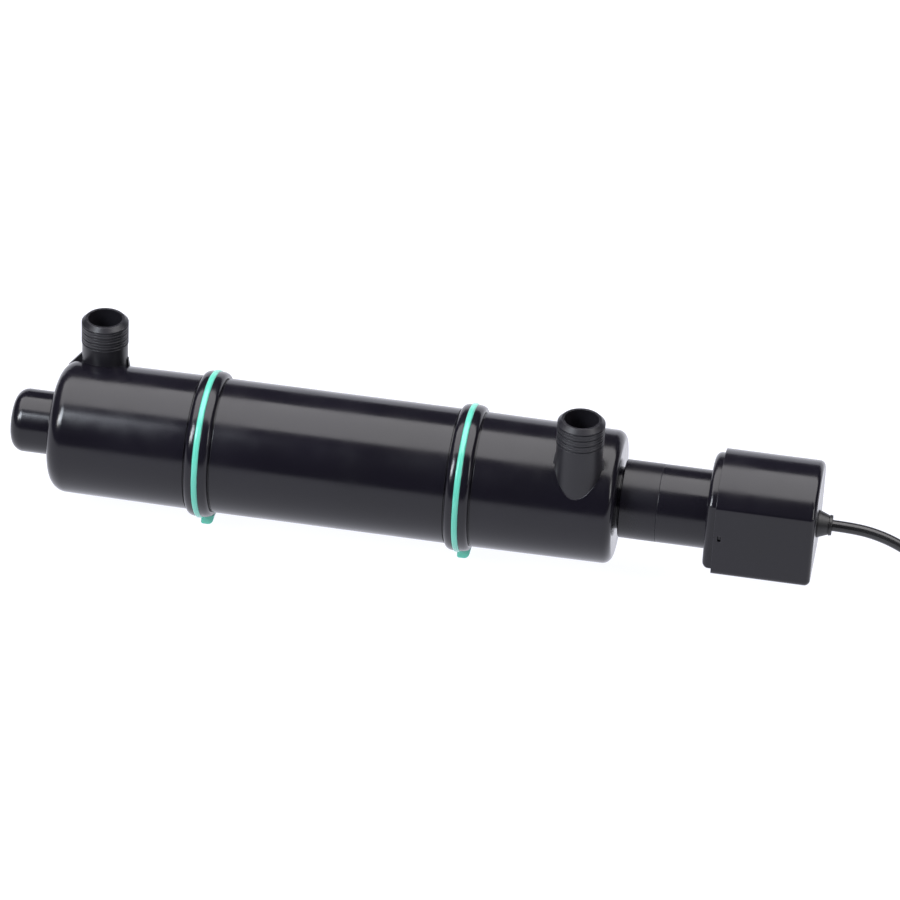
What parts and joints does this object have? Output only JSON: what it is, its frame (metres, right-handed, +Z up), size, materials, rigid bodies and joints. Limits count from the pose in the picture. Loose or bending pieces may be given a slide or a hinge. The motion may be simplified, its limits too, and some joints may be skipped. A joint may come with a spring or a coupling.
{
  "type": "ultraviolet water clarifier",
  "caption": "Inline tube housing with two threaded hose ports, translucent sight rings and a draw-out lamp unit with ballast and mains cord.",
  "frame": {"origin": "on the floor under the middle of the unit without its cord", "axes": "+X along the tube from the closed boss to the ballast case; +Z up along the hose ports; -Y is the front"},
  "size_m": [0.613, 0.1459, 0.1069],
  "materials": {
    "housing": "moulded black plastic, glossy, with faint flow marks and scuffs",
    "port_plastic": "moulded black plastic, satin, matte on the threads",
    "sight_ring": "translucent sea-green plastic, glossy",
    "seal_rubber": "matte black nitrile",
    "quartz": "clear fused quartz",
    "washer_plastic": "natural white plastic",
    "collar_plastic": "moulded black plastic, satin",
    "case_plastic": "moulded black plastic, glossy",
    "socket_plastic": "white heat-resistant plastic",
    "brass_contacts": "bright brass",
    "circuit_board": "green solder mask",
    "steel": "plated steel",
    "ferrite": "dark grey ferrite",
    "winding": "yellow insulating tape",
    "capacitor_sleeve": "dark blue printed-free sleeve",
    "transistor_epoxy": "black moulding compound",
    "terminal_plastic": "green nylon",
    "lead_insulation": "white insulated wire",
    "cord_rubber": "black flexible sheath, satin",
    "tie_plastic": "black strap",
    "plug_rubber": "black moulded plug, satin",
    "lamp_glass": "clear lamp glass",
    "lamp_cap": "white ceramic"
  },
  "bodies": {
    "housing": {"inlet_head": "housing", "outlet_head": "housing", "body_tube": "housing", "inlet_port": "port_plastic", "outlet_port": "port_plastic", "left_sight_ring": "sight_ring", "right_sight_ring": "sight_ring", "left_joint_inner_oring": "seal_rubber", "left_joint_outer_oring": "seal_rubber", "right_joint_inner_oring": "seal_rubber", "right_joint_outer_oring": "seal_rubber", "quartz_sleeve": "quartz", "sleeve_seat": "seal_rubber", "sleeve_oring": "seal_rubber"},
    "thrust_washer": {"thrust_washer": "washer_plastic"},
    "lock_collar": {"lock_collar": "collar_plastic"},
    "lamp_unit": {"ballast_cover": "case_plastic", "ballast_case": "case_plastic", "cover_gasket": "seal_rubber", "sleeve_grommet": "seal_rubber", "lamp_socket": "socket_plastic", "socket_contacts": "brass_contacts", "ballast_board": "circuit_board", "board_screws": "steel", "ballast_choke": "ferrite", "choke_winding": "winding", "board_capacitors": "capacitor_sleeve", "board_transistors": "transistor_epoxy", "terminal_block": "terminal_plastic", "lamp_leads": "lead_insulation", "mains_leads": "lead_insulation", "cord_gland": "cord_rubber", "power_cord": "cord_rubber", "cord_coil": "cord_rubber", "cord_tail": "cord_rubber", "coil_tie": "tie_plastic", "plug_body": "plug_rubber", "plug_pins": "brass_contacts"},
    "lamp": {"lamp_tube": "lamp_glass", "lamp_far_cap": "lamp_cap", "lamp_base": "lamp_cap", "lamp_pins": "brass_contacts", "lamp_return_wires": "lead_insulation", "lamp_filaments": "steel"}
  },
  "joints": [
    {"name": "collar_travel", "type": "slide", "parent": "housing", "child": "thrust_washer", "axis": [1, 0, 0], "range_m": [0, 0.009]},
    {"name": "collar_turn", "type": "hinge", "parent": "thrust_washer", "child": "lock_collar", "pos_m": [0.12715, 0, 0.046], "axis": [1, 0, 0], "range_deg": [0, 1080]},
    {"name": "lamp_unit_slide", "type": "slide", "parent": "thrust_washer", "child": "lamp_unit", "axis": [1, 0, 0], "range_m": [0, 0.345]},
    {"name": "lamp_pull", "type": "slide", "parent": "lamp_unit", "child": "lamp", "axis": [-1, 0, 0], "range_m": [0, 0.008]}
  ],
  "couplings": [
    {"joint": "collar_turn", "follows": "collar_travel", "rad_per_m": 2094.4}
  ]
}
